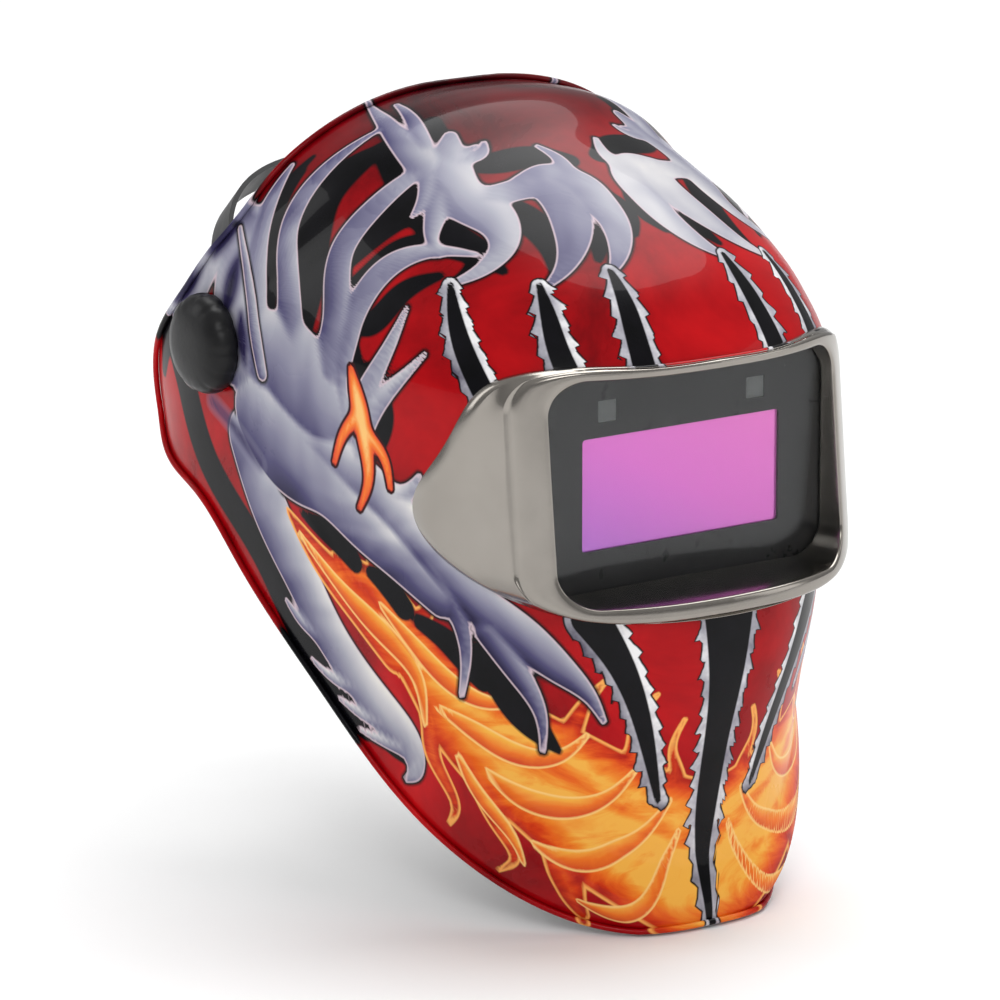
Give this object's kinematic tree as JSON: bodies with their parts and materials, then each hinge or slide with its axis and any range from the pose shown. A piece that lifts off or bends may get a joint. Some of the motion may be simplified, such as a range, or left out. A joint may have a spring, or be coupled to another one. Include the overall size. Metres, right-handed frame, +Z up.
{
  "type": "welding helmet",
  "caption": "Welding helmet with a flip-up shell, chromed front frame, auto-darkening filter module and ratchet headgear.",
  "frame": {"origin": "midway between the two side pivots, on the axis that the shell lifts about", "axes": "+X to the wearer's left along the pivot axis, -Y the way the wearer looks, +Z up"},
  "size_m": [0.234, 0.341, 0.3067],
  "materials": {
    "shell_plastic": "glossy printed and clear-coated shell",
    "frame_chrome": "smoky bright plating",
    "clear_plate": "clear polycarbonate",
    "filter_plastic": "dark grey, semi-gloss",
    "black_plastic": "moulded, fine grain",
    "headgear_plastic": "flexible moulded strap",
    "filter_glass": "magenta interference coating",
    "dark_glass": "dark green black",
    "board": "solder-masked board",
    "steel": "zinc plated",
    "brass": "plain",
    "lamp": "milky light pipes",
    "button_rubber": "soft key tops",
    "sweatband_leather": "perforated synthetic leather over foam",
    "pad_foam": "foam pad with knitted cover",
    "nylon": "natural nylon",
    "fibre": "vulcanised fibre",
    "cell_steel": "nickel plated"
  },
  "bodies": {
    "headgear": {"headband": "headgear_plastic", "front_sweatband": "sweatband_leather", "crown_strap_front": "headgear_plastic", "crown_strap_rear": "headgear_plastic", "crown_strap_pegs": "black_plastic", "strap_rivets": "steel", "rear_strap_right": "headgear_plastic", "rear_strap_left": "headgear_plastic"},
    "pivot_carriage": {"pivot_carrier_right": "black_plastic", "pivot_carrier_left": "black_plastic", "pivot_stud_right": "steel", "pivot_stud_left": "steel", "stop_plate_right": "steel", "stop_plate_left": "steel", "friction_washer_right": "fibre", "friction_washer_left": "fibre", "outer_washer_right": "fibre", "outer_washer_left": "fibre", "spring_washer_right": "steel", "spring_washer_left": "steel"},
    "tension_knob_right": {"tension_knob_right": "black_plastic", "knob_nut_right": "brass"},
    "tension_knob_left": {"tension_knob_left": "black_plastic", "knob_nut_left": "brass"},
    "shade_button": {"shade_button": "button_rubber"},
    "sensitivity_button": {"sensitivity_button": "button_rubber"},
    "delay_button": {"delay_button": "button_rubber"},
    "battery_cap_right": {"battery_cap_right": "black_plastic"},
    "battery_cap_left": {"battery_cap_left": "black_plastic"},
    "nape_unit": {"ratchet_housing": "black_plastic", "ratchet_cover": "black_plastic", "nape_pad": "pad_foam", "detent_spring": "steel"},
    "ratchet_knob": {"ratchet_knob": "black_plastic", "ratchet_pinion": "nylon"},
    "face_shell": {"arc_sensors": "dark_glass", "battery_contacts": "brass", "carrier_screws": "steel", "circuit_board": "board", "coin_cell_left": "cell_steel", "coin_cell_right": "cell_steel", "filter_carrier": "black_plastic", "filter_front_housing": "filter_plastic", "filter_rear_housing": "filter_plastic", "front_frame": "frame_chrome", "indicator_lights": "lamp", "inner_protection_plate": "clear_plate", "lcd_cell": "dark_glass", "outer_protection_plate": "clear_plate", "pivot_bushing_left": "nylon", "pivot_bushing_right": "nylon", "rear_glass": "dark_glass", "shell": "shell_plastic", "uv_ir_glass": "filter_glass"}
  },
  "joints": [
    {"name": "face_distance", "type": "slide", "parent": "headgear", "child": "pivot_carriage", "axis": [0, 0.9613, -0.2756], "range_m": [-0.01, 0.01]},
    {"name": "shell_lift", "type": "hinge", "parent": "pivot_carriage", "child": "face_shell", "pos_m": [0, 0, 0], "axis": [-1, 0, 0], "range_deg": [0, 75]},
    {"name": "tension_turn_right", "type": "hinge", "parent": "pivot_carriage", "child": "tension_knob_right", "pos_m": [-0.11, 0, 0], "axis": [-1, 0, 0], "range_deg": [0, 180]},
    {"name": "tension_turn_left", "type": "hinge", "parent": "pivot_carriage", "child": "tension_knob_left", "pos_m": [0.11, 0, 0], "axis": [1, 0, 0], "range_deg": [0, 180]},
    {"name": "ratchet_turn", "type": "hinge", "parent": "nape_unit", "child": "ratchet_knob", "pos_m": [0, 0.12496, -0.03583], "axis": [0, 0.9613, -0.2756], "range_deg": [-114, 137]},
    {"name": "nape_slide", "type": "slide", "parent": "headgear", "child": "nape_unit", "axis": [0, 0.9613, -0.2756], "range_m": [-0.012, 0.01], "deforming": ["rear_strap_right", "rear_strap_left"]},
    {"name": "shade_press", "type": "slide", "parent": "face_shell", "child": "shade_button", "axis": [0, -1, 0], "range_m": [0, 0.0008], "stiffness_N_per_m": 600, "springref_m": -0.0006},
    {"name": "sensitivity_press", "type": "slide", "parent": "face_shell", "child": "sensitivity_button", "axis": [0, -1, 0], "range_m": [0, 0.0008], "stiffness_N_per_m": 600, "springref_m": -0.0006},
    {"name": "delay_press", "type": "slide", "parent": "face_shell", "child": "delay_button", "axis": [0, -1, 0], "range_m": [0, 0.0008], "stiffness_N_per_m": 600, "springref_m": -0.0006},
    {"name": "battery_turn_right", "type": "hinge", "parent": "face_shell", "child": "battery_cap_right", "pos_m": [-0.0596, -0.15, -0.037], "axis": [0, 1, 0], "range_deg": [0, 60]},
    {"name": "battery_turn_left", "type": "hinge", "parent": "face_shell", "child": "battery_cap_left", "pos_m": [0.0596, -0.15, -0.037], "axis": [0, 1, 0], "range_deg": [0, 60]}
  ],
  "couplings": [
    {"joint": "nape_slide", "follows": "ratchet_turn", "m_per_rad": -0.005}
  ]
}
